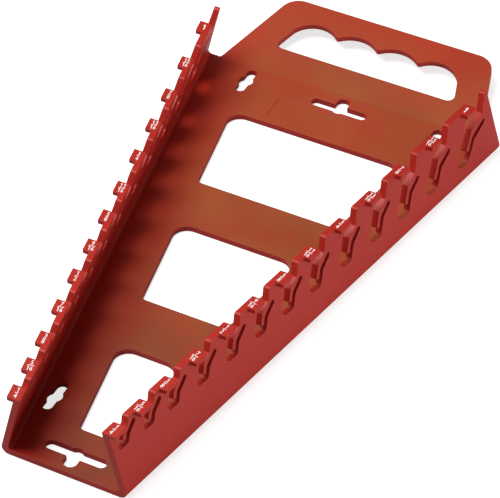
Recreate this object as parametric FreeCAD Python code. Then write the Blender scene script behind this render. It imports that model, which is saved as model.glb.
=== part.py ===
import FreeCAD, Part
import math
import os

# Wrench rack, moulded as one piece: a tapering base plate, two walls that lean in over it, a row of
# J-shaped notches with a springing finger in each wall, number tabs along the top and a grip behind.
# Millimetres. Y runs from the narrow end to the grip, X across, Z up from the underside of the plate.
# While it is built, Y = 0 is the narrow end; at the end the origin goes to the middle of the underside.

# Base plate and walls
PLATE = 3.0              # thickness of the plate and of the grip
NEAR_HALF = 31.7         # half width over the walls at the narrow end, at the underside
TAPER = 0.179            # growth of that half width for each millimetre along Y
PLATE_END = 287.0        # where the plate stops and the grip bends up
WALL_END_FOOT = 288.0    # wide end of the walls at the underside
WALL_END_TOP = 285.2     # wide end of the walls at their top
WALL_TOP = 36.1          # height of the walls
WALL = 3.2               # wall thickness, measured along X
LEAN = 0.245             # how far a wall leans in for each millimetre of height
HEEL_RADIUS = 3.5        # outside rounding under each wall
ROOT_RADIUS = 2.0        # inside rounding between plate and wall
LIP = 10.0               # width of plate that is made together with the wall
WALL_SPARE = 5.0         # length of wall past both ends before they are cut straight

# Number tabs on the outside of the walls
TAB_REACH = 3.4          # how far a tab stands out from the wall
TAB_LENGTH = 8.0         # along Y
TAB_THICK = 2.3

# Wrench stations: size in sixteenths of an inch, way from the last tab, slant of the notch
SIXTEENTH = 25.4 / 16
STATIONS = [
    (4, 8.0, 0.47), (5, 17.0, 0.50), (6, 17.0, 0.54), (7, 20.6, 0.56), (8, 20.6, 0.56),
    (9, 20.6, 0.56), (10, 20.6, 0.57), (11, 20.6, 0.57), (12, 23.6, 0.57), (13, 23.6, 0.57),
    (14, 23.6, 0.62), (15, 25.8, 0.73), (16, 29.4, 0.85),
]
FIRST_DEPTH = 11.4       # depth of the smallest notch
DEPTH_RATE = 0.81        # further depth for each millimetre of wrench size
FIRST_GAP = 2.3          # width of the smallest notch beside its finger
GAP_RATE = 0.21          # further width for each millimetre of wrench size
FIRST_MOUTH = 5.3        # width of the smallest notch at the top of the wall
MOUTH_RATE = 0.31        # further mouth for each millimetre of wrench size
LAST_BLOCK = 1.9         # what stands of the wall behind the last notch, at the top

# Springing fingers
FINGER = 2.0             # thickness of a finger
RELIEF = 2.2             # width of the slot behind a finger
FIRST_TIP_GAP = 2.2      # room under the smallest finger
TIP_GAP_RATE = 0.14      # further room for each millimetre of wrench size
FIRST_ROOT = 2.5         # depth of the top end of the smallest slot below the wall top
ROOT_RATE = 0.62         # further depth of that end for each millimetre of notch depth
UPPER_LEG = 5.0          # height of the part of the slot above its bend
SLOT_END = 7.6           # place of the slot's top end behind the tab, along Y
RAMP = 3.2               # height of the ramp over the finger
FIRST_SHOULDER = 3.0     # depth of the top of the smallest ramp below the wall top
SHOULDER_RATE = 0.40     # further depth of it for each millimetre of notch depth
FACE_SLANT = 0.5         # slant of the block face over the ramp
MOUTH_ROUND = 1.8        # rounding where that face meets the wall top
HEEL_ROUND = 2.5         # rounding of the notch bottom under the slot
TIP_BEVEL = 0.5          # bevels of a finger's tip
SLOT_ROUND = 1.0         # rounding of the top end of a slot, as a share of half its width
SEAT_SHARE = 0.72        # rounding of the notch bottom as a share of the notch width
CUT_ROOM = 2.0           # how far cutting shapes run past what they cut
SAME_PLACE = 1e-6        # points closer than this are one

# Windows in the plate, between lines across it: near edge, far edge
WINDOWS = [(25.2, 79.1), (110.3, 164.8), (195.2, 251.0)]
WINDOW_INSET = 26.4      # plate left between a window and the inside of the wall
WINDOW_NEAR_ROUND = 3.0
WINDOW_FAR_ROUND = 7.2

# Slots for hanging the rack on screws
KEY_PLACES = [(25.8, 37.7), (51.4, 275.9)]
KEY_WIDTH = 5.0
KEY_LENGTH = 18.0
KEY_LOBE = 7.4           # round middle that lets a screw head through
CROSS_PLACES = [(11.3, 8.9), (276.9, 279.3)]   # centre of the long slot, centre of the short one
CROSS_LENGTH = 30.0
CROSS_WIDTH = 5.3
CROSS_SHORT = 11.9
CROSS_SHORT_WIDTH = 6.5

# Shallow panel in the top of the plate
PANEL_NEAR = 254.4
PANEL_FAR = 272.3
PANEL_HALF = 30.2
PANEL_ROUND = 3.0
PANEL_DEPTH = 0.35

# Round marks that the mould's ejector pins leave in the top of the plate
PIN_PLACES = [(15.2, 25.5), (41.1, 177.8)]
PIN_WIDTH = 7.4
PIN_DEPTH = 0.25

# Grip
GRIP_TILT = 8.6          # degrees that the grip bends up from the plate
GRIP_LENGTH = 54.0       # from the bend to the far edge
GRIP_FOOT_HALF = 72.0    # half width at the bend
GRIP_TIP_HALF = 56.4     # half width at the far edge
GRIP_CORNER = 10.0
GRIP_FILLET = 3.5        # rounding between grip and plate end
HOLE_NEAR = 18.6         # near edge of the hand hole from the bend
HOLE_FOOT_HALF = 50.0
HOLE_SIDE_HALF = 45.8    # where the side meets the outer scallop
HOLE_SIDE = 32.5
HOLE_ROUND = 3.5
SCALLOPS = 4
SCALLOP_PITCH = 22.6
SCALLOP_TOP = 41.0       # far end of each scallop from the bend
SCALLOP_CUSP = 36.7      # tip of the points between them
CUSP_HALF = 1.3          # half width of a rounded point
CUSP_RISE = 0.6


def unit(x, y):
    length = math.hypot(x, y)
    return x / length, y / length


def rounded(points, place):
    """Closed wire through (u, v, radius) corners; place gives the 3-D point.

    A radius rounds its corner by an arc, a negative one bevels it by that length along both sides.
    """
    ends = []
    arcs = []
    count = len(points)
    for i, (u, v, radius) in enumerate(points):
        before = points[i - 1]
        after = points[(i + 1) % count]
        if radius == 0:
            ends.append(((u, v), (u, v)))
            arcs.append(None)
            continue
        au, av = unit(before[0] - u, before[1] - v)
        bu, bv = unit(after[0] - u, after[1] - v)
        if radius < 0:
            ends.append(((u - au * radius, v - av * radius), (u - bu * radius, v - bv * radius)))
            arcs.append(None)
            continue
        half = math.acos(au * bu + av * bv) / 2
        run = radius / math.tan(half)
        mu, mv = unit(au + bu, av + bv)
        reach = radius / math.sin(half) - radius
        ends.append(((u + au * run, v + av * run), (u + bu * run, v + bv * run)))
        arcs.append((u + mu * reach, v + mv * reach))
    edges = []
    for i in range(count):
        start, stop = ends[i]
        if arcs[i]:
            edges.append(Part.Arc(place(*start), place(*arcs[i]), place(*stop)).toShape())
        elif start != stop:
            edges.append(Part.LineSegment(place(*start), place(*stop)).toShape())
        following = ends[(i + 1) % count][0]
        if math.dist(stop, following) > SAME_PLACE:
            edges.append(Part.LineSegment(place(*stop), place(*following)).toShape())
    return Part.Wire(edges)


def flat(x, y):
    return FreeCAD.Vector(x, y, 0)


def slab(wire, bottom, top):
    """Prism over a flat wire between two heights."""
    face = Part.Face(wire)
    face.translate(FreeCAD.Vector(0, 0, bottom))
    return face.extrude(FreeCAD.Vector(0, 0, top - bottom))


def outer_half(y):
    return NEAR_HALF + TAPER * y


def inner_half(y):
    return outer_half(y) - WALL


def mirrored(shape):
    return shape.mirror(FreeCAD.Vector(0, 0, 0), FreeCAD.Vector(1, 0, 0))


def tab_ends():
    """Place of the far edge of each tab along Y."""
    ends = []
    place = 0
    for _, step, _ in STATIONS:
        place += step
        ends.append(place)
    return ends


def wall_blank():
    """One wall with its heel and a strip of plate: a section square to the wall, pushed along it."""
    square = 1 / math.hypot(1, TAPER)
    outer_top = -LEAN * WALL_TOP
    section = rounded([
        (-LIP, 0, 0),
        (0, 0, HEEL_RADIUS),
        (outer_top, WALL_TOP, 0),
        (outer_top - WALL, WALL_TOP, 0),
        (-WALL - LEAN * PLATE, PLATE, ROOT_RADIUS),
        (-LIP, PLATE, 0),
    ], lambda x, z: FreeCAD.Vector(NEAR_HALF + x * square * square, -x * TAPER * square * square, z))
    run = FreeCAD.Vector(TAPER, 1, 0)
    face = Part.Face(section)
    face.translate(run * -WALL_SPARE)
    length = WALL_END_FOOT + 2 * WALL_SPARE
    ends = Part.makeBox(length, WALL_END_FOOT, WALL_TOP)
    return face.extrude(run * length).common(ends)


def tab(end):
    """Number tab on the outside of the wall, its far edge at the given place."""
    start = end - TAB_LENGTH
    root = -LEAN * WALL_TOP - WALL / 2
    rim = -LEAN * WALL_TOP + TAB_REACH
    outline = rounded([
        (outer_half(start) + root, start, 0),
        (outer_half(start) + rim, start, 0),
        (outer_half(end) + rim, end, 0),
        (outer_half(end) + root, end, 0),
    ], flat)
    return slab(outline, WALL_TOP - TAB_THICK, WALL_TOP)


def bent_slot(start, bend, end, width):
    """Slot of one width along a bent line: start of its right side, its corners, its lower direction."""
    lower = unit(bend[0] - start[0], bend[1] - start[1])
    upper = unit(end[0] - bend[0], end[1] - bend[1])
    half = width / 2
    lean = 1 + lower[0] * upper[0] + lower[1] * upper[1]
    side = ((lower[1] + upper[1]) / lean * half, -(lower[0] + upper[0]) / lean * half)
    across = (upper[1] * half, -upper[0] * half)
    tip = (end[0] + upper[0] * half, end[1] + upper[1] * half)
    radius = half * SLOT_ROUND
    right = (start[0] + lower[1] * half, start[1] - lower[0] * half)
    corners = [
        (bend[0] + side[0], bend[1] + side[1], 0),
        (tip[0] + across[0], tip[1] + across[1], radius),
        (tip[0] - across[0], tip[1] - across[1], radius),
        (bend[0] - side[0], bend[1] - side[1], 0),
    ]
    return right, corners, lower


def cut_across(corners):
    """Solid that cuts through both walls, from its (y, z, radius) corners seen from the side."""
    reach = outer_half(WALL_END_FOOT) + TAB_REACH
    wire = rounded(corners, lambda y, z: FreeCAD.Vector(-reach, y, z))
    return Part.Face(wire).extrude(FreeCAD.Vector(2 * reach, 0, 0))


def on_line(point, way, z):
    """Place along Y where a line through the point reaches the height."""
    return point[0] + (z - point[1]) * way[0] / way[1]


def notch(end, size, slant, mouth):
    """Opening of one station: mouth, ramp over the finger, notch, seat and the slot behind the finger."""
    more = size - STATIONS[0][0] * SIXTEENTH
    depth = FIRST_DEPTH + DEPTH_RATE * more
    seat = WALL_TOP - depth
    along = math.hypot(1, slant)
    gap = (FIRST_GAP + GAP_RATE * more) * along
    finger = FINGER * along
    relief = RELIEF * along

    def near_side(z):
        return end - slant * (WALL_TOP - z)

    root = WALL_TOP - FIRST_ROOT - ROOT_RATE * (depth - FIRST_DEPTH)
    shoulder = WALL_TOP - FIRST_SHOULDER - SHOULDER_RATE * (depth - FIRST_DEPTH)
    ramp_foot = shoulder - RAMP
    tip = seat + FIRST_TIP_GAP + TIP_GAP_RATE * more
    tip_left = tip + FINGER * slant / along
    bend_height = root - UPPER_LEG
    middle = gap + finger + relief / 2
    right, bends, lower = bent_slot(
        (near_side(seat) + middle, seat),
        (near_side(bend_height) + middle, bend_height),
        (end + SLOT_END, root - RELIEF / 2), RELIEF)
    past_mouth = end + mouth + 2 * MOUTH_ROUND
    corners = [
        (end, WALL_TOP + CUT_ROOM, 0),
        (end, WALL_TOP, 0),
        (near_side(seat), seat, SEAT_SHARE * gap / along),
        (on_line(right, lower, seat), seat, HEEL_ROUND),
    ] + bends + [
        (near_side(tip_left) + gap + FINGER / along, tip, -TIP_BEVEL),
        (near_side(tip_left) + gap, tip_left, -TIP_BEVEL),
        (near_side(ramp_foot) + gap, ramp_foot, 0),
        (end + mouth - FACE_SLANT * (WALL_TOP - shoulder), shoulder, 0),
        (end + mouth, WALL_TOP, MOUTH_ROUND),
        (past_mouth, WALL_TOP, 0),
        (past_mouth, WALL_TOP + CUT_ROOM, 0),
    ]
    return cut_across(corners)


def notches():
    """One opening behind each tab; the last reaches to what stands at the end of the wall."""
    first = STATIONS[0][0] * SIXTEENTH
    cuts = []
    for (sixteenths, _, slant), end in zip(STATIONS, tab_ends()):
        size = sixteenths * SIXTEENTH
        mouth = FIRST_MOUTH + MOUTH_RATE * (size - first)
        if sixteenths == STATIONS[-1][0]:
            mouth = WALL_END_TOP - LAST_BLOCK - end
        cuts.append(notch(end, size, slant, mouth))
    return cuts


def wall_end_cut():
    """Wedge that slopes the wide end of the walls."""
    drop = (WALL_END_FOOT - WALL_END_TOP) / WALL_TOP
    return cut_across([
        (WALL_END_FOOT + drop * CUT_ROOM, -CUT_ROOM, 0),
        (WALL_END_TOP - drop * CUT_ROOM, WALL_TOP + CUT_ROOM, 0),
        (WALL_END_FOOT + CUT_ROOM, WALL_TOP + CUT_ROOM, 0),
        (WALL_END_FOOT + CUT_ROOM, -CUT_ROOM, 0),
    ])


def walls():
    """Both walls with their tabs, notches and sloped wide ends."""
    wall = wall_blank().fuse([tab(end) for end in tab_ends()])
    both = wall.fuse(mirrored(wall))
    return both.cut(notches() + [wall_end_cut()])


def plate():
    near = NEAR_HALF - LIP / 2
    far = outer_half(PLATE_END) - LIP / 2
    outline = rounded([(-near, 0, 0), (near, 0, 0), (far, PLATE_END, 0), (-far, PLATE_END, 0)], flat)
    return slab(outline, 0, PLATE)


def window(near, far):
    near_half = inner_half(near) - WINDOW_INSET
    far_half = inner_half(far) - WINDOW_INSET
    outline = rounded([
        (-near_half, near, WINDOW_NEAR_ROUND),
        (near_half, near, WINDOW_NEAR_ROUND),
        (far_half, far, WINDOW_FAR_ROUND),
        (-far_half, far, WINDOW_FAR_ROUND),
    ], flat)
    return slab(outline, -CUT_ROOM, PLATE + CUT_ROOM)


def slot(x, y, along_x, along_y):
    """Slot through the plate with round ends, about its centre."""
    half_x = along_x / 2
    half_y = along_y / 2
    radius = min(half_x, half_y)
    outline = rounded([
        (x - half_x, y - half_y, radius),
        (x + half_x, y - half_y, radius),
        (x + half_x, y + half_y, radius),
        (x - half_x, y + half_y, radius),
    ], flat)
    return slab(outline, -CUT_ROOM, PLATE + CUT_ROOM)


def key_slots():
    """Four upright slots, each with a round middle for a screw head."""
    cuts = []
    depth = PLATE + 2 * CUT_ROOM
    for x, y in KEY_PLACES:
        for side in (-x, x):
            cuts.append(slot(side, y, KEY_WIDTH, KEY_LENGTH))
            cuts.append(Part.makeCylinder(KEY_LOBE / 2, depth, FreeCAD.Vector(side, y, -CUT_ROOM)))
    return cuts


def cross_slots():
    """A long slot across the plate at each end, crossed by a short one."""
    cuts = []
    for long_y, short_y in CROSS_PLACES:
        cuts.append(slot(0, long_y, CROSS_LENGTH, CROSS_WIDTH))
        cuts.append(slot(0, short_y, CROSS_SHORT_WIDTH, CROSS_SHORT))
    return cuts


def label_panel():
    """Shallow panel behind the last window."""
    outline = rounded([
        (-PANEL_HALF, PANEL_NEAR, PANEL_ROUND),
        (PANEL_HALF, PANEL_NEAR, PANEL_ROUND),
        (PANEL_HALF, PANEL_FAR, PANEL_ROUND),
        (-PANEL_HALF, PANEL_FAR, PANEL_ROUND),
    ], flat)
    return slab(outline, PLATE - PANEL_DEPTH, PLATE + CUT_ROOM)


def pin_marks():
    """Shallow discs, a pair in front of the first window and a pair between the last two."""
    cuts = []
    for x, y in PIN_PLACES:
        for side in (-x, x):
            foot = FreeCAD.Vector(side, y, PLATE - PIN_DEPTH)
            cuts.append(Part.makeCylinder(PIN_WIDTH / 2, PIN_DEPTH + CUT_ROOM, foot))
    return cuts


def hand_hole():
    """Outline of the hand hole: straight near edge, leaning sides, a row of finger scallops beyond."""
    edges = []
    cusp_base = SCALLOP_CUSP + CUSP_RISE
    half_row = SCALLOPS / 2

    def arc(a, b, c):
        edges.append(Part.Arc(flat(*a), flat(*b), flat(*c)).toShape())

    for i in range(SCALLOPS):
        middle = (i - half_row + 0.5) * SCALLOP_PITCH
        left = middle - SCALLOP_PITCH / 2 + CUSP_HALF
        right = middle + SCALLOP_PITCH / 2 - CUSP_HALF
        start = (-HOLE_SIDE_HALF, HOLE_SIDE) if i == 0 else (left, cusp_base)
        stop = (HOLE_SIDE_HALF, HOLE_SIDE) if i == SCALLOPS - 1 else (right, cusp_base)
        arc(start, (middle, SCALLOP_TOP), stop)
        if i < SCALLOPS - 1:
            cusp = middle + SCALLOP_PITCH / 2
            arc(stop, (cusp, SCALLOP_CUSP), (cusp + CUSP_HALF, cusp_base))
    run_x, run_y = unit(HOLE_SIDE_HALF - HOLE_FOOT_HALF, HOLE_SIDE - HOLE_NEAR)
    half = math.acos(-run_x) / 2
    run = HOLE_ROUND / math.tan(half)
    reach = HOLE_ROUND / math.sin(half) - HOLE_ROUND
    way_x, way_y = unit(run_x - 1, run_y)
    low = (HOLE_FOOT_HALF - run, HOLE_NEAR)
    high = (HOLE_FOOT_HALF + run_x * run, HOLE_NEAR + run_y * run)
    between = (HOLE_FOOT_HALF + way_x * reach, HOLE_NEAR + way_y * reach)
    edges.append(Part.LineSegment(flat(HOLE_SIDE_HALF, HOLE_SIDE), flat(*high)).toShape())
    arc(high, between, low)
    edges.append(Part.LineSegment(flat(*low), flat(-low[0], low[1])).toShape())
    arc((-low[0], low[1]), (-between[0], between[1]), (-high[0], high[1]))
    edges.append(Part.LineSegment(flat(-high[0], high[1]), flat(-HOLE_SIDE_HALF, HOLE_SIDE)).toShape())
    return Part.Wire(edges)


def grip():
    """Grip behind the plate, bent up a little, with its hand hole.

    A strip before the bend carries the fillets while the outline is made, and is left out after.
    """
    foot = GRIP_FOOT_HALF + GRIP_FILLET
    outline = rounded([
        (-foot, -CUT_ROOM, 0),
        (foot, -CUT_ROOM, 0),
        (foot, 0, 0),
        (GRIP_FOOT_HALF, 0, GRIP_FILLET),
        (GRIP_TIP_HALF, GRIP_LENGTH, GRIP_CORNER),
        (-GRIP_TIP_HALF, GRIP_LENGTH, GRIP_CORNER),
        (-GRIP_FOOT_HALF, 0, GRIP_FILLET),
        (-foot, 0, 0),
    ], flat)
    body = slab(outline, 0, PLATE).cut(slab(hand_hole(), -CUT_ROOM, PLATE + CUT_ROOM))
    body = body.common(Part.makeBox(2 * foot, GRIP_LENGTH, PLATE, FreeCAD.Vector(-foot, 0, 0)))
    body.rotate(FreeCAD.Vector(0, 0, 0), FreeCAD.Vector(1, 0, 0), GRIP_TILT)
    body.translate(FreeCAD.Vector(0, PLATE_END, 0))
    return body


def rack():
    """Whole moulding, moved so that its origin is the middle of its underside."""
    body = walls().fuse([plate(), grip()])
    cuts = [window(near, far) for near, far in WINDOWS]
    cuts += key_slots() + cross_slots() + pin_marks() + [label_panel()]
    body = body.cut(cuts).removeSplitter()
    box = body.optimalBoundingBox(False, False)
    body.translate(FreeCAD.Vector(0, -(box.YMin + box.YMax) / 2, -box.ZMin))
    return body


os.makedirs("parts", exist_ok=True)
shape = rack()
shape.exportStep("parts/rack.step")
box = shape.optimalBoundingBox(False, False)
print("solids", len(shape.Solids), "valid", shape.isValid(), "volume", round(shape.Volume))
print("size", round(box.XLength, 2), round(box.YLength, 2), round(box.ZLength, 2))
print("faces", len(shape.Faces))
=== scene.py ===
# %% [markdown]
# # A moulded wrench rack
# The rack is one piece of red plastic: a tapering tray whose two walls carry a row of
# notches for wrenches, and a carrying grip at the wide end. Its solid shape comes from the
# construction model. This lesson adds what the eye looks for next: the soft edges of a
# moulding, the plastic's gloss and flow marks, and the white sizes printed on the tabs.

# %% Load the solid model
import math
from fractions import Fraction

import bpy
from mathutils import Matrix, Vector


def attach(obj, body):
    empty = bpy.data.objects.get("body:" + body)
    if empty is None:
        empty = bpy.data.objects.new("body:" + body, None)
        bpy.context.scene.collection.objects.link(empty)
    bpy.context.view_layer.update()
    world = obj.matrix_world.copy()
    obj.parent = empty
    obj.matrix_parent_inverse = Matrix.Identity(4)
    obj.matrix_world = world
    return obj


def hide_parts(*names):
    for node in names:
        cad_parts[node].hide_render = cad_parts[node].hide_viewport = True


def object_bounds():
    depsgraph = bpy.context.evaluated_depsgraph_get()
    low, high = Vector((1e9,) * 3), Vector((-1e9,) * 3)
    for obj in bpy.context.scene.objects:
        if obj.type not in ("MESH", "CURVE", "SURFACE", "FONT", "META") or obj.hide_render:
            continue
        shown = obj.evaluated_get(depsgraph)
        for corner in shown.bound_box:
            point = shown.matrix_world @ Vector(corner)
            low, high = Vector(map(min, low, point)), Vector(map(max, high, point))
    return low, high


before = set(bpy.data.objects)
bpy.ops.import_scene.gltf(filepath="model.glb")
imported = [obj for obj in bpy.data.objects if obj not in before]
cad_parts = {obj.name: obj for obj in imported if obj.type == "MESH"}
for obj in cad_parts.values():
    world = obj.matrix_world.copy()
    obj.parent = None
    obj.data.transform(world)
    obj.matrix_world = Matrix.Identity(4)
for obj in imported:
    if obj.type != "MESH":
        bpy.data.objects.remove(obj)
cad_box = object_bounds()
MM = 0.001
NEAR_END = cad_box[0][1] / MM   # narrow end of the rack, along Y
NEAR_HALF = 31.7                # half width over the walls there, at the underside
TAPER = 0.179                   # growth of that half width for each millimetre along Y
LEAN = 0.245                    # how far a wall leans in for each millimetre of height
TOP = cad_box[1][2] / MM        # height of the walls
print("solid model from", [round(v / MM, 1) for v in cad_box[0]])
print("to", [round(v / MM, 1) for v in cad_box[1]], "millimetres")

# %% [markdown]
# ## Where the camera stands
# The picture was taken from the narrow end, to the right and well above, with a long lens,
# so that the edges of the tray run almost parallel. The place was found by lining up the
# rack's straight edges with the photograph. The frame is 500 by 498 pixels, and a small
# shift puts the rack where the photograph has it.

# %% Camera
bpy.ops.object.select_all(action="DESELECT")
bpy.ops.object.camera_add(location=(0.40821, -0.82423, 0.82672),
                          rotation=(0.834428, -0.007932, 0.469786))
camera = bpy.context.object
camera.name = "photo_camera"
camera.data.sensor_width = 36
camera.data.lens = 188.36
camera.data.shift_x = 0.0263
camera.data.shift_y = 0.0047
camera.data.clip_end = 10
bpy.context.scene.camera = camera
print("camera at", [round(v, 3) for v in camera.location])

# %% [markdown]
# ## Colours and nodes
# Colours are written as the sRGB hex values that a colour picker shows. Blender wants
# linear light, so one function turns one into the other. A second one adds a node with its
# settings and its links, so that a material reads as a short list.

# %% Helpers for materials
def colour(code):
    """An sRGB hex value as linear light, with full cover."""
    channels = [int(code[i:i + 2], 16) / 255 for i in (1, 3, 5)]
    linear = [c / 12.92 if c <= 0.04045 else ((c + 0.055) / 1.055) ** 2.4 for c in channels]
    return (*linear, 1.0)


def add_node(tree, kind, links=None, **settings):
    """A node with its settings, and with links from sources to its inputs."""
    node = tree.nodes.new(kind)
    for name, value in settings.items():
        if name in node.inputs.keys():
            node.inputs[name].default_value = value
        else:
            setattr(node, name, value)
    for socket, source in (links or {}).items():
        tree.links.new(source, node.inputs[socket])
    return node


def new_material(name):
    """An empty material and its node tree."""
    material = bpy.data.materials.new(name)
    material.use_nodes = True
    material.node_tree.nodes.clear()
    return material, material.node_tree


print("red of the rack in linear light", [round(v, 3) for v in colour("#A82217")[:3]])

# %% [markdown]
# ## Moulded plastic
# The rack is injection moulded polypropylene, dyed red through. Its faces are glossy but
# not sharp. Its colour drifts a little along the way the melt flowed. The plate is browner
# than the walls, so the material holds a red and a brown. The brown is partly the plate's
# own tint and partly a painted warm reflection, and it is darker toward the narrow end: that
# darkening is painted shade, where the light falls off. The sizes of the patterns are in
# millimetres.

# %% Red and brown
FLOW_SIZE = 45
PATCH_SIZE = 62
# Painted light and shade along Y: the brown is darker toward the narrow end and paler further on,
# standing in for light that falls off toward the narrow end.
PALE_FROM = 40            # along Y, the brown is palest from here
PAINTED_SHADE_NEAR = -0.30       # shift toward the dark brown at the narrow end
PAINTED_LIGHT_FAR = 0.18          # shift toward the pale brown beyond PALE_FROM

plastic, tree = new_material("moulded_red_polypropylene")
place = add_node(tree, "ShaderNodeTexCoord")
spot = place.outputs["Object"]
flow_place = add_node(tree, "ShaderNodeMapping", {"Vector": spot}, Scale=(1.0, 0.35, 1.0))
flow = add_node(tree, "ShaderNodeTexNoise", {"Vector": flow_place.outputs["Vector"]},
                Scale=1 / (FLOW_SIZE * MM), Detail=3.0, Roughness=0.5)
red = add_node(tree, "ShaderNodeMix", {"Factor": flow.outputs["Fac"]}, data_type="RGBA")
red.inputs[6].default_value = colour("#9C1A14")
red.inputs[7].default_value = colour("#B42A1A")
split = add_node(tree, "ShaderNodeSeparateXYZ", {"Vector": spot})
patches = add_node(tree, "ShaderNodeTexNoise", {"Vector": spot},
                   Scale=1 / (PATCH_SIZE * MM), Detail=3.0)
# Painted shade: along Y the brown is pushed toward its dark colour at the narrow end and toward
# its pale colour further on.
along = add_node(tree, "ShaderNodeMapRange", {"Value": split.outputs["Y"]})
along.inputs["From Min"].default_value = NEAR_END * MM
along.inputs["From Max"].default_value = PALE_FROM * MM
along.inputs["To Min"].default_value = PAINTED_SHADE_NEAR
along.inputs["To Max"].default_value = PAINTED_LIGHT_FAR
patches_and_painted_falloff = add_node(tree, "ShaderNodeMath", {0: patches.outputs["Fac"], 1: along.outputs[0]},
                 operation="ADD", use_clamp=True)
brown = add_node(tree, "ShaderNodeMix", {"Factor": patches_and_painted_falloff.outputs[0]}, data_type="RGBA")
brown.inputs[6].default_value = colour("#6A331A")
brown.inputs[7].default_value = colour("#A8562E")
print("red and brown use", len(tree.nodes), "nodes")

# %% [markdown]
# ## Where the brown shows
# The plate is reddest beside the left wall: that red strip is painted shade, where the wall
# shades the plate. Brown comes in with the distance from that wall, on low faces that look
# upward, in soft patches; keeping it to faces that look up paints it as a warm reflection
# from above, on top of the plate's own tint. Where the grip bends up there is a step from red
# to brown, so BROWN_ALONG lists how much brown there is at each share of the length. The
# amounts are multiplied and then mix brown into the red.

# %% Share of brown
MOTTLE_SIZE = 26
# Painted shade: the strip beside the left wall, which the wall shades, is kept red.
RED_BESIDE_WALL = 2       # brown starts this far from the left wall
BROWN_FROM_WALL = 42      # and is full here
BROWN_BELOW = 12          # full brown up to this height
RED_ABOVE = 16            # and none from here
# Painted reflection: the brown is kept to faces that look up, as a warm reflection from above
# would be.
STEEP = 0.80              # no brown where the normal's upward part is less
LEVEL = 0.96              # full brown where it is more
LEAST_BROWN = 0.72        # share of brown left in the red patches
MOTTLE_LOW = 0.34         # noise value of the reddest patches
MOTTLE_HIGH = 0.56        # noise value of the brownest patches
BROWN_ALONG = [(0.02, 0.95), (0.60, 0.90), (0.72, 0.74), (0.842, 0.70), (0.847, 1.0),
               (0.90, 0.72), (0.99, 0.40)]

# Painted shade: brown grows with the distance from the left wall, so the strip in the wall's
# shade stays darker red.
wall = add_node(tree, "ShaderNodeMath", {0: split.outputs["Y"]}, operation="MULTIPLY_ADD")
wall.inputs[1].default_value = TAPER
wall.inputs[2].default_value = (NEAR_HALF - TAPER * NEAR_END) * MM
inward = add_node(tree, "ShaderNodeMath", {0: wall.outputs[0], 1: split.outputs["X"]},
                  operation="ADD")
middle = add_node(tree, "ShaderNodeMapRange", {"Value": inward.outputs[0]},
                  interpolation_type="SMOOTHSTEP")
middle.inputs["From Min"].default_value = RED_BESIDE_WALL * MM
middle.inputs["From Max"].default_value = BROWN_FROM_WALL * MM
low = add_node(tree, "ShaderNodeMapRange", {"Value": split.outputs["Z"]})
low.inputs["From Min"].default_value = RED_ABOVE * MM
low.inputs["From Max"].default_value = BROWN_BELOW * MM
# Painted reflection: brown only on faces whose normal looks up.
facing = add_node(tree, "ShaderNodeNewGeometry")
upward = add_node(tree, "ShaderNodeSeparateXYZ", {"Vector": facing.outputs["Normal"]})
flat = add_node(tree, "ShaderNodeMapRange", {"Value": upward.outputs["Z"]})
flat.inputs["From Min"].default_value = STEEP
flat.inputs["From Max"].default_value = LEVEL
streaks = add_node(tree, "ShaderNodeTexNoise", {"Vector": spot},
                   Scale=1 / (MOTTLE_SIZE * MM), Detail=2.0)
mottle = add_node(tree, "ShaderNodeMapRange", {"Value": streaks.outputs["Fac"]})
mottle.inputs["From Min"].default_value = MOTTLE_LOW
mottle.inputs["From Max"].default_value = MOTTLE_HIGH
mottle.inputs["To Min"].default_value = LEAST_BROWN
share = add_node(tree, "ShaderNodeMath", {0: middle.outputs[0], 1: low.outputs[0]},
                 operation="MULTIPLY")
share = add_node(tree, "ShaderNodeMath", {0: share.outputs[0], 1: flat.outputs[0]},
                 operation="MULTIPLY")
share = add_node(tree, "ShaderNodeMath", {0: share.outputs[0], 1: mottle.outputs[0]},
                 operation="MULTIPLY")
length = add_node(tree, "ShaderNodeMapRange", {"Value": split.outputs["Y"]})
length.inputs["From Min"].default_value = NEAR_END * MM
length.inputs["From Max"].default_value = -NEAR_END * MM
fold = add_node(tree, "ShaderNodeValToRGB", {"Fac": length.outputs[0]})
for place_along, amount in BROWN_ALONG:
    stop = fold.color_ramp.elements.new(place_along)
    stop.color = (amount, amount, amount, 1)
fold.color_ramp.elements.remove(fold.color_ramp.elements[-1])
fold.color_ramp.elements.remove(fold.color_ramp.elements[0])
share = add_node(tree, "ShaderNodeMath", {0: share.outputs[0], 1: fold.outputs["Color"]},
                 operation="MULTIPLY")
# The share mixes brown into the red: partly the plate's own colour, partly painted reflection and
# shade.
tint = add_node(tree, "ShaderNodeMix",
                {"Factor": share.outputs[0], 6: red.outputs[2], 7: brown.outputs[2]},
                data_type="RGBA")
print("brown changes at", len(fold.color_ramp.elements), "places along the rack")

# %% [markdown]
# ## Gloss and skin
# A flat moulded wall is never quite flat, so its reflections wander: a wide, faint bump does
# that. A second one is the skin of the plastic. Its grain is drawn coarser than the real
# one, which is too fine to see even close up.

# %% Surface of the plastic
WANDER_SIZE = 33
SKIN_SIZE = 0.6
WANDER_DEPTH = 0.6
SKIN_DEPTH = 0.1

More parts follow.
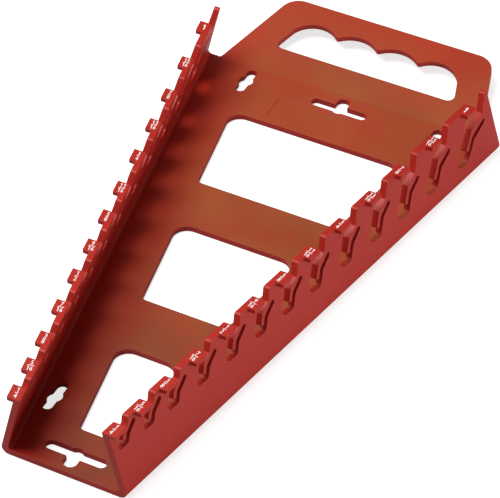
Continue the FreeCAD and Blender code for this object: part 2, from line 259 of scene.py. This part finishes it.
wander = add_node(tree, "ShaderNodeTexNoise", {"Vector": spot},
                  Scale=1 / (WANDER_SIZE * MM), Detail=1.0)
wander_bump = add_node(tree, "ShaderNodeBump", {"Height": wander.outputs["Fac"]},
                       Strength=0.25, Distance=WANDER_DEPTH * MM)
skin = add_node(tree, "ShaderNodeTexNoise", {"Vector": spot},
                Scale=1 / (SKIN_SIZE * MM), Detail=2.0)
skin_bump = add_node(tree, "ShaderNodeBump",
                     {"Height": skin.outputs["Fac"], "Normal": wander_bump.outputs["Normal"]},
                     Strength=0.12, Distance=SKIN_DEPTH * MM)
shader = add_node(tree, "ShaderNodeBsdfPrincipled",
                  {"Base Color": tint.outputs[2], "Normal": skin_bump.outputs["Normal"]},
                  Roughness=0.42, IOR=1.49)
shader.inputs["Specular IOR Level"].default_value = 0.28
add_node(tree, "ShaderNodeOutputMaterial", {"Surface": shader.outputs["BSDF"]})
print("plastic has", len(tree.nodes), "nodes")

# %% [markdown]
# ## White ink
# The sizes are pad printed on the tabs in white: a thin, slightly matt skin of ink that is
# a little thinner at places, so that some red shows through. The thin places are drawn
# coarser than the real ones.

# %% Printed ink
THIN_SIZE = 0.4

ink, tree = new_material("pad_printed_white_ink")
place = add_node(tree, "ShaderNodeTexCoord")
thin = add_node(tree, "ShaderNodeTexNoise", {"Vector": place.outputs["Object"]},
                Scale=1 / (THIN_SIZE * MM), Detail=2.0)
cover = add_node(tree, "ShaderNodeValToRGB", {"Fac": thin.outputs["Fac"]})
cover.color_ramp.elements[0].position = 0.28
cover.color_ramp.elements[0].color = colour("#E9C9C4")
cover.color_ramp.elements[1].position = 0.45
cover.color_ramp.elements[1].color = colour("#F6F3F0")
shader = add_node(tree, "ShaderNodeBsdfPrincipled", {"Base Color": cover.outputs["Color"]},
                  Roughness=0.55, IOR=1.5)
add_node(tree, "ShaderNodeOutputMaterial", {"Surface": shader.outputs["BSDF"]})
print("ink has", len(tree.nodes), "nodes")

# %% [markdown]
# ## The moulding with its soft edges
# The construction model has sharp edges, but a mould is worn and polished, so every edge of
# the real rack is a small round that catches the light. A copy of the solid is merged from
# loose triangles into whole faces, and the Bevel modifier rounds the edges that turn
# sharply. A weighted normal keeps the large faces even beside those rounds. The wall tops
# are set down by the thickness of the ink, so that the print doesn't make the rack taller,
# and points that the rounding pushed below the underside are brought back to it.

# %% Body
EDGE_ROUND = 0.18
SHARP = math.radians(28)
MERGE = 0.005                   # points closer than this are one
SAME_FACE = math.radians(1)     # faces that turn less than this are one
LARGE_FACES_FIRST = 100         # weight of the large faces in the normals
INK = 0.03

body = bpy.data.objects.new("moulding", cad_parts["rack"].data.copy())
bpy.context.scene.collection.objects.link(body)
bpy.context.view_layer.objects.active = body
body.select_set(True)
bpy.ops.object.mode_set(mode="EDIT")
bpy.ops.mesh.select_all(action="SELECT")
bpy.ops.mesh.remove_doubles(threshold=MERGE * MM)
bpy.ops.mesh.dissolve_limited(angle_limit=SAME_FACE)
bpy.ops.object.mode_set(mode="OBJECT")
for vertex in body.data.vertices:
    if vertex.co.z > (TOP - INK) * MM:
        vertex.co.z = (TOP - INK) * MM
bevel = body.modifiers.new("edge rounds", "BEVEL")
bevel.width = EDGE_ROUND * MM
bevel.segments = 2
bevel.limit_method = "ANGLE"
bevel.angle_limit = SHARP
bevel.use_clamp_overlap = False
bpy.ops.object.modifier_apply(modifier=bevel.name)
bpy.ops.object.shade_smooth()
for vertex in body.data.vertices:
    vertex.co.z = max(vertex.co.z, 0.0)
even = body.modifiers.new("even shading", "WEIGHTED_NORMAL")
even.weight = LARGE_FACES_FIRST
bpy.ops.object.modifier_apply(modifier=even.name)
body.data.materials.clear()
body.data.materials.append(plastic)
body.select_set(False)
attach(body, "root")
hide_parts("rack")
print("moulding:", len(body.data.polygons), "faces")

# %% [markdown]
# ## Sizes on the tabs
# Each tab has its wrench size in inches, as a fraction with a bar between its two numbers.
# A digit is a text object, made a mesh and brought to its real height and width, and the
# digit 1 is a drawn outline. The digits and the bar are joined, set on the tab of one wall
# and copied to the other, each turned to run with its wall.

# %% Sizes and places of the print
# From each tab's far end to the next one's, along Y. The first counts from the narrow end.
STEPS = [8.0, 17.0, 17.0, 20.6, 20.6, 20.6, 20.6, 20.6, 23.6, 23.6, 23.6, 25.8, 29.4]
FIRST_SIZE = 4           # sixteenths of an inch on the first tab
TAB_LENGTH = 8.0
# The half width over the walls at their top, at the narrow end.
WALL_EDGE = NEAR_HALF - LEAN * TOP
NUMBER_HEIGHT = 2.5
WHOLE_TALLER = 1.6       # a whole number is taller than the numbers of a fraction
NARROW = 0.85            # width of a digit against the font's own
# The outline of the digit 1, as shares of its height.
ONE_OUTLINE = [(0.14, -0.5), (0.14, 0.5), (0.01, 0.5), (-0.22, 0.31), (-0.17, 0.21),
               (0.0, 0.33), (0.0, -0.5)]
DIGIT_ROOM = 1.6
BAR_GAP = 0.42
BAR_HEIGHT = 0.34
STROKE_GAIN = 0.01
CURVE_STEPS = 4


def digit_one(height):
    """The digit 1 as one outline with its flag, which the plain font leaves out."""
    bpy.ops.object.select_all(action="DESELECT")
    bpy.ops.mesh.primitive_circle_add(vertices=len(ONE_OUTLINE), fill_type="NGON")
    one = bpy.context.object
    for vertex, (x, y) in zip(one.data.vertices, ONE_OUTLINE):
        vertex.co = (x * height * MM, y * height * MM, -INK * MM / 2)
    bpy.ops.object.mode_set(mode="EDIT")
    bpy.ops.mesh.select_all(action="SELECT")
    bpy.ops.mesh.extrude_region_move(TRANSFORM_OT_translate={"value": (0, 0, INK * MM)})
    bpy.ops.mesh.select_all(action="SELECT")
    bpy.ops.mesh.normals_make_consistent(inside=False)
    bpy.ops.object.mode_set(mode="OBJECT")
    return one


def other_digit(character, height):
    """Any other digit from the font, brought to the height and width of the print."""
    bpy.ops.object.select_all(action="DESELECT")
    bpy.ops.object.text_add()
    digit = bpy.context.object
    digit.data.body = character
    digit.data.size = height * MM
    digit.data.offset = STROKE_GAIN * MM
    digit.data.extrude = INK * MM / 2
    digit.data.resolution_u = CURVE_STEPS
    bpy.ops.object.convert(target="MESH")
    corners = [Vector(corner) for corner in digit.bound_box]
    low = Vector(min(c[i] for c in corners) for i in range(3))
    high = Vector(max(c[i] for c in corners) for i in range(3))
    grow = height * MM / (high.y - low.y)
    centre = (low + high) / 2
    digit.scale = (grow * NARROW, grow, 1)
    digit.location = (-centre.x * digit.scale.x, -centre.y * grow, -centre.z)
    bpy.ops.object.transform_apply(location=True, rotation=True, scale=True)
    return digit


def lay_flat(number, middle, height):
    """A number as a flat mesh, its digits side by side around a middle line."""
    digits = []
    room = DIGIT_ROOM * height / NUMBER_HEIGHT
    for index, character in enumerate(number):
        digit = digit_one(height) if character == "1" else other_digit(character, height)
        digit.location = ((index - (len(number) - 1) / 2) * room * MM, middle * MM, 0)
        bpy.ops.object.transform_apply(location=True, rotation=True, scale=True)
        digits.append(digit)
    for digit in digits:
        digit.select_set(True)
    if len(digits) > 1:
        bpy.ops.object.join()
    return bpy.context.object


def size_print(size):
    """The print of one size, flat around the origin."""
    if size.denominator == 1:
        return lay_flat(str(size.numerator), 0, NUMBER_HEIGHT * WHOLE_TALLER)
    rise = (NUMBER_HEIGHT + BAR_HEIGHT) / 2 + BAR_GAP
    above = lay_flat(str(size.numerator), rise, NUMBER_HEIGHT)
    below = lay_flat(str(size.denominator), -rise, NUMBER_HEIGHT)
    bpy.ops.object.select_all(action="DESELECT")
    bpy.ops.mesh.primitive_cube_add(size=1)
    bar = bpy.context.object
    widest = max(len(str(size.numerator)), len(str(size.denominator)))
    bar.scale = (DIGIT_ROOM * widest * MM, BAR_HEIGHT * MM, INK * MM)
    bpy.ops.object.transform_apply(location=True, rotation=True, scale=True)
    above.select_set(True)
    below.select_set(True)
    bpy.ops.object.join()
    return bar


print("a fraction is", round(2 * NUMBER_HEIGHT + BAR_HEIGHT + 2 * BAR_GAP, 2), "millimetres tall")

# %% Print on every tab
def set_on_tab(piece, name, side, tab_end):
    """Put the print on the tab of one wall, turned to run along that wall."""
    middle = tab_end - TAB_LENGTH / 2
    piece.name = name
    piece.rotation_euler.z = -side * math.atan(TAPER)
    piece.location = (side * (WALL_EDGE + TAPER * middle) * MM, (NEAR_END + middle) * MM,
                      (TOP - INK / 2) * MM)
    bpy.ops.object.select_all(action="DESELECT")
    piece.select_set(True)
    bpy.context.view_layer.objects.active = piece
    bpy.ops.object.transform_apply(location=True, rotation=True, scale=True)
    piece.data.materials.clear()
    piece.data.materials.append(ink)
    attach(piece, "root")


tab_end = 0
for station, step in enumerate(STEPS):
    tab_end += step
    sixteenths = FIRST_SIZE + station
    right = size_print(Fraction(sixteenths, 16))
    left = right.copy()
    left.data = right.data.copy()
    bpy.context.scene.collection.objects.link(left)
    set_on_tab(right, "size_right_%02d_sixteenths" % sixteenths, 1, tab_end)
    set_on_tab(left, "size_left_%02d_sixteenths" % sixteenths, -1, tab_end)
print("printed", 2 * len(STEPS), "tabs, the last at", round(tab_end, 1), "mm from the narrow end")

# %% [markdown]
# ## Floor and light
# The rack lies on a white sheet under a high soft box at its left, and a long low panel
# stands at its right, because in the photograph the inner face of the left wall is dark and
# the outer face of the right wall is bright. The sheet glows a little to the camera, so that
# it is pure white where it is lit and still keeps the rack's shadow.

# %% Stage
SHEET_GLOW = 0.72        # seen by the camera alone, so it lights nothing
SHEET_SIZE = 12          # metres
SHEET_BELOW = 0.2        # so that sheet and underside don't share a plane
ROOM_LIGHT = 0.16
HIGH_BOX_POWER = 21
SIDE_PANEL_POWER = 7.5

white, tree = new_material("white_sheet")
ray = add_node(tree, "ShaderNodeLightPath")
sheet_shader = add_node(tree, "ShaderNodeBsdfDiffuse", Color=colour("#C4C4C4"))
glow = add_node(tree, "ShaderNodeEmission", Color=(1, 1, 1, 1), Strength=SHEET_GLOW)
both = add_node(tree, "ShaderNodeAddShader")
tree.links.new(sheet_shader.outputs["BSDF"], both.inputs[0])
tree.links.new(glow.outputs["Emission"], both.inputs[1])
seen = add_node(tree, "ShaderNodeMixShader", {"Fac": ray.outputs["Is Camera Ray"]})
tree.links.new(sheet_shader.outputs["BSDF"], seen.inputs[1])
tree.links.new(both.outputs["Shader"], seen.inputs[2])
add_node(tree, "ShaderNodeOutputMaterial", {"Surface": seen.outputs["Shader"]})
bpy.ops.object.select_all(action="DESELECT")
bpy.ops.mesh.primitive_plane_add(size=SHEET_SIZE, location=(0, 0, -SHEET_BELOW * MM))
floor = bpy.context.object
floor.name = "floor"
floor.data.materials.append(white)

world = bpy.data.worlds.new("studio")
bpy.context.scene.world = world
world.use_nodes = True
world.node_tree.nodes["Background"].inputs["Color"].default_value = (1, 1, 1, 1)
world.node_tree.nodes["Background"].inputs["Strength"].default_value = ROOM_LIGHT


def soft_box(name, place, across, up, power):
    """A soft lamp of the given width, height and power that faces the middle of the rack."""
    bpy.ops.object.light_add(type="AREA", location=place)
    lamp = bpy.context.object
    lamp.name = name
    lamp.data.shape = "RECTANGLE"
    lamp.data.size = across
    lamp.data.size_y = up
    lamp.data.energy = power
    lamp.rotation_euler = (-lamp.location).to_track_quat("-Z", "Y").to_euler()
    return lamp


soft_box("high_soft_box", Vector((-0.52, -0.16, 1.16)), 0.9, 0.9, HIGH_BOX_POWER)
soft_box("low_side_panel", Vector((1.10, 0.10, 0.16)), 0.8, 0.24, SIDE_PANEL_POWER)
print("stage ready")

# %% [markdown]
# ## Finish
# The picture is shown with the Standard view transform.

# %% Finish
bpy.context.scene.view_settings.view_transform = "Standard"
